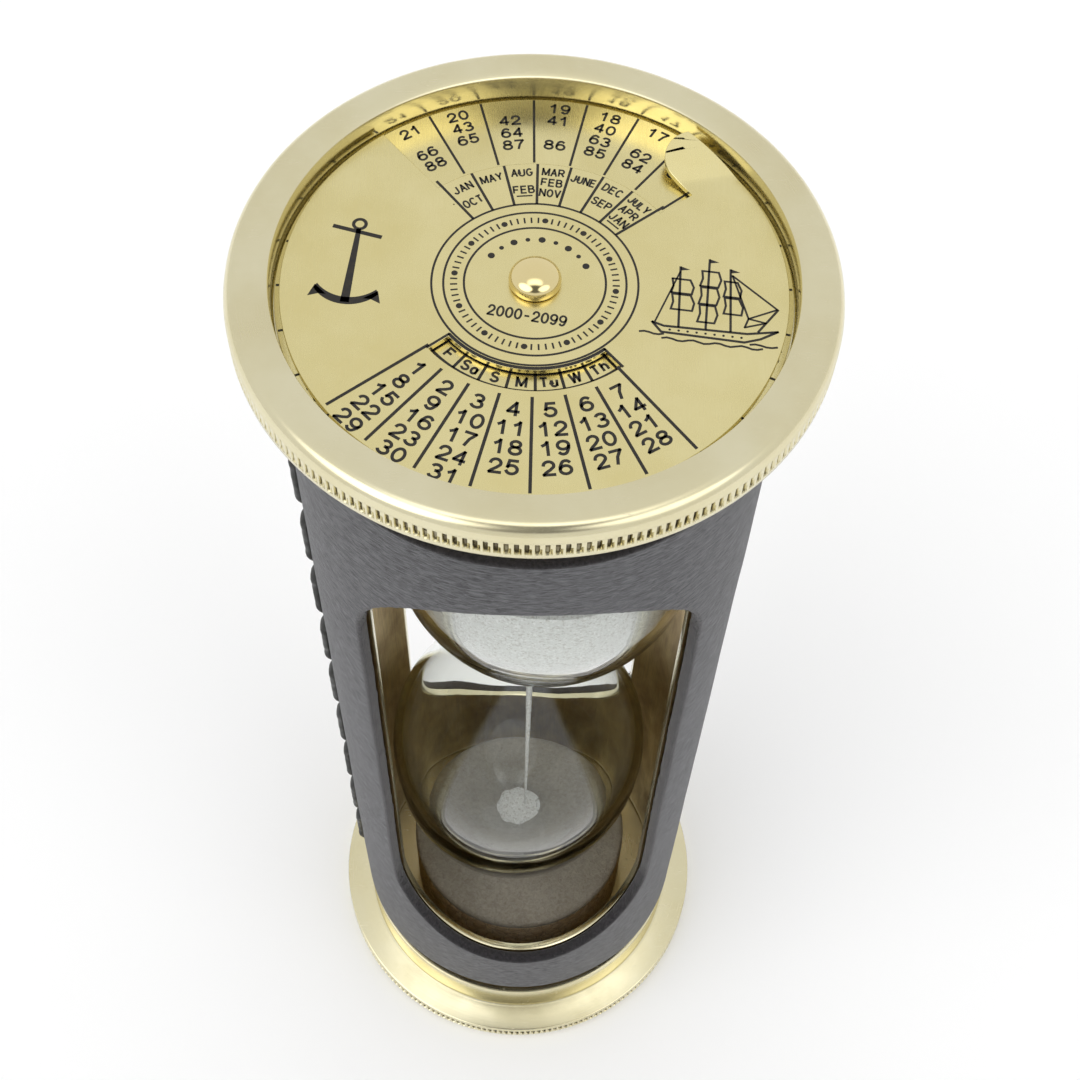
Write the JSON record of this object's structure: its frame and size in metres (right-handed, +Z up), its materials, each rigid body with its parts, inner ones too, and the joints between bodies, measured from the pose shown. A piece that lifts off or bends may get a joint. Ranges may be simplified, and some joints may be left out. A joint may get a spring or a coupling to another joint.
{
  "type": "sand timer",
  "caption": "Sand timer in a windowed brass tube wrapped in laced black leather, with flanged end caps and a turning calendar dial on top.",
  "frame": {"origin": "centre of the base, on the surface that the timer stands on", "axes": "+Z up along the tube's axis, towards the calendar end; -Y out of the front window; the laced seam on -X"},
  "size_m": [0.06, 0.06, 0.165],
  "materials": {
    "polished_brass": "polished and lacquered",
    "satin_brass": "pale, fine satin, with black-filled engraving",
    "aged_brass": "unpolished tube, brown inside",
    "black_leather": "fine grain, satin, raw dark edges",
    "lace": "flat waxed thong",
    "clear_glass": "clear blown glass",
    "white_sand": "fine white grains",
    "felt": "pale wool felt",
    "cork": "pressed cork"
  },
  "bodies": {
    "root": {"body_tube": "aged_brass", "leather_sleeve": "black_leather", "seam_lace": "lace", "top_cap": "polished_brass", "bottom_cap": "polished_brass", "base_disc": "satin_brass", "year_disc": "satin_brass", "dial_spacer": "polished_brass", "pivot_rivet": "polished_brass", "rivet_washer": "polished_brass", "glass_bulbs": "clear_glass", "glass_plug": "clear_glass", "upper_sand": "white_sand", "sand_stream": "white_sand", "lower_sand": "white_sand", "lower_seat": "cork", "lower_felt": "felt", "upper_felt": "felt", "upper_seat": "cork"},
    "dial": {"calendar_dial": "satin_brass"}
  },
  "joints": [
    {"name": "dial_turn", "type": "hinge", "parent": "root", "child": "dial", "pos_m": [0, 0, 0.1627], "axis": [0, 0, 1], "continuous": true}
  ]
}
